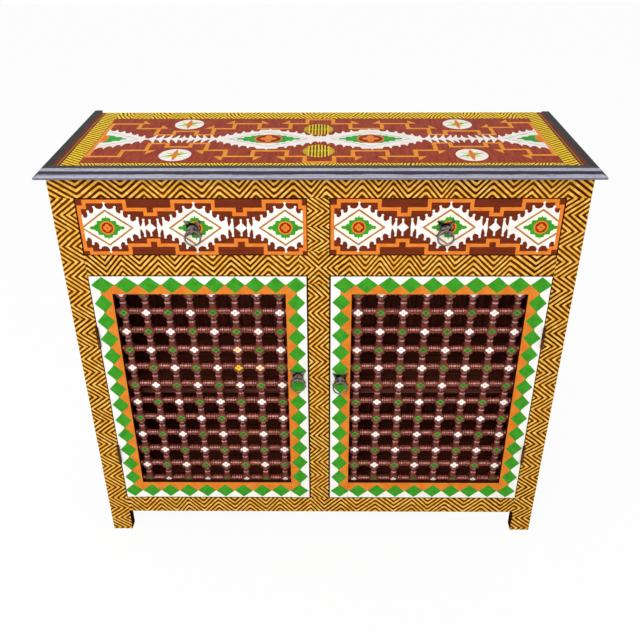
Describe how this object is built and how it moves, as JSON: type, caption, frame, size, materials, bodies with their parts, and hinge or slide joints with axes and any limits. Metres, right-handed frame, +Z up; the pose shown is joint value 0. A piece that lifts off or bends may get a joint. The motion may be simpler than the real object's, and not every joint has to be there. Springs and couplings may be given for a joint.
{
  "type": "cabinet",
  "caption": "Painted wooden cabinet on short legs with drawers over hinged doors filled with turned lattice, ring pulls and a moulded top edge.",
  "frame": {"origin": "on the floor, midway between the widest and the deepest points of the top", "axes": "+Z up from the floor, +X to the right seen from the front, +Y from the front to the back"},
  "size_m": [1.042, 0.3957, 0.915],
  "materials": {
    "zigzag_paint": "hand-painted zigzags, yellow on brown, satin",
    "door_paint": "hand-painted white, green and orange, satin",
    "drawer_paint": "hand-painted figures on brown, satin",
    "top_paint": "hand-painted figures on red-brown, satin",
    "edging_paint": "brushed blue-grey over black, semi-gloss",
    "lattice_wood": "turned wood with red-brown stain, semi-gloss",
    "inner_stain": "dark brown stain",
    "back_stain": "brown stain, matte",
    "bare_wood": "bare planed softwood",
    "aged_bronze": "cast and darkened",
    "hinge_steel": "darkened",
    "screw_steel": "zinc plated"
  },
  "bodies": {
    "carcass": {"back_panel": "back_stain", "board_battens": "bare_wood", "carcass_screws": "screw_steel", "door_catches": "screw_steel", "door_mullion": "zigzag_paint", "drawer_kickers": "bare_wood", "drawer_mullion": "zigzag_paint", "drawer_runner_centre": "bare_wood", "drawer_runner_left": "bare_wood", "drawer_runner_right": "bare_wood", "floor_board": "inner_stain", "front_post_left": "zigzag_paint", "front_post_right": "zigzag_paint", "front_rail_bottom": "zigzag_paint", "front_rail_middle": "zigzag_paint", "front_rail_top": "zigzag_paint", "hinge_post_leaves": "hinge_steel", "rear_post_left": "back_stain", "rear_post_right": "back_stain", "rear_rail_bottom": "back_stain", "rear_rail_top": "back_stain", "shelf": "inner_stain", "side_board_left": "zigzag_paint", "side_board_right": "zigzag_paint", "top_board": "top_paint", "top_edging_front": "edging_paint", "top_edging_left": "edging_paint", "top_edging_right": "edging_paint"},
    "drawer_left": {"drawer_left_back": "bare_wood", "drawer_left_bottom": "bare_wood", "drawer_left_front": "drawer_paint", "drawer_left_pull_mount": "aged_bronze", "drawer_left_side_left": "bare_wood", "drawer_left_side_right": "bare_wood"},
    "drawer_left_pull_ring": {"drawer_left_ring": "aged_bronze"},
    "door_left": {"door_left_hinge_leaves": "hinge_steel", "door_left_hinge_stile": "door_paint", "door_left_latch_stile": "door_paint", "door_left_lattice_bars": "lattice_wood", "door_left_lattice_spindles": "lattice_wood", "door_left_pull_mount": "aged_bronze", "door_left_rail_bottom": "door_paint", "door_left_rail_top": "door_paint"},
    "door_left_pull_ring": {"door_left_ring": "aged_bronze"},
    "drawer_right": {"drawer_right_back": "bare_wood", "drawer_right_bottom": "bare_wood", "drawer_right_front": "drawer_paint", "drawer_right_pull_mount": "aged_bronze", "drawer_right_side_left": "bare_wood", "drawer_right_side_right": "bare_wood"},
    "drawer_right_pull_ring": {"drawer_right_ring": "aged_bronze"},
    "door_right": {"door_right_hinge_leaves": "hinge_steel", "door_right_hinge_stile": "door_paint", "door_right_latch_stile": "door_paint", "door_right_lattice_bars": "lattice_wood", "door_right_lattice_spindles": "lattice_wood", "door_right_pull_mount": "aged_bronze", "door_right_rail_bottom": "door_paint", "door_right_rail_top": "door_paint"},
    "door_right_pull_ring": {"door_right_ring": "aged_bronze"}
  },
  "joints": [
    {"name": "drawer_left_slide", "type": "slide", "parent": "carcass", "child": "drawer_left", "axis": [0, -1, 0], "range_m": [0, 0.21]},
    {"name": "door_left_hinge", "type": "hinge", "parent": "carcass", "child": "door_left", "pos_m": [-0.45775, -0.18345, 0.2385], "axis": [0, 0, -1], "range_deg": [0, 150]},
    {"name": "drawer_left_ring_swing", "type": "hinge", "parent": "drawer_left", "child": "drawer_left_pull_ring", "pos_m": [-0.241, -0.19325, 0.795], "axis": [-1, 0, 0], "range_deg": [-12, 90]},
    {"name": "door_left_ring_swing", "type": "hinge", "parent": "door_left", "child": "door_left_pull_ring", "pos_m": [-0.0475, -0.19325, 0.452], "axis": [-1, 0, 0], "range_deg": [-12, 90]},
    {"name": "drawer_right_slide", "type": "slide", "parent": "carcass", "child": "drawer_right", "axis": [0, -1, 0], "range_m": [0, 0.21]},
    {"name": "door_right_hinge", "type": "hinge", "parent": "carcass", "child": "door_right", "pos_m": [0.45775, -0.18345, 0.2385], "axis": [0, 0, 1], "range_deg": [0, 150]},
    {"name": "drawer_right_ring_swing", "type": "hinge", "parent": "drawer_right", "child": "drawer_right_pull_ring", "pos_m": [0.2385, -0.19325, 0.795], "axis": [-1, 0, 0], "range_deg": [-12, 90]},
    {"name": "door_right_ring_swing", "type": "hinge", "parent": "door_right", "child": "door_right_pull_ring", "pos_m": [0.0425, -0.19325, 0.446], "axis": [-1, 0, 0], "range_deg": [-12, 90]}
  ]
}
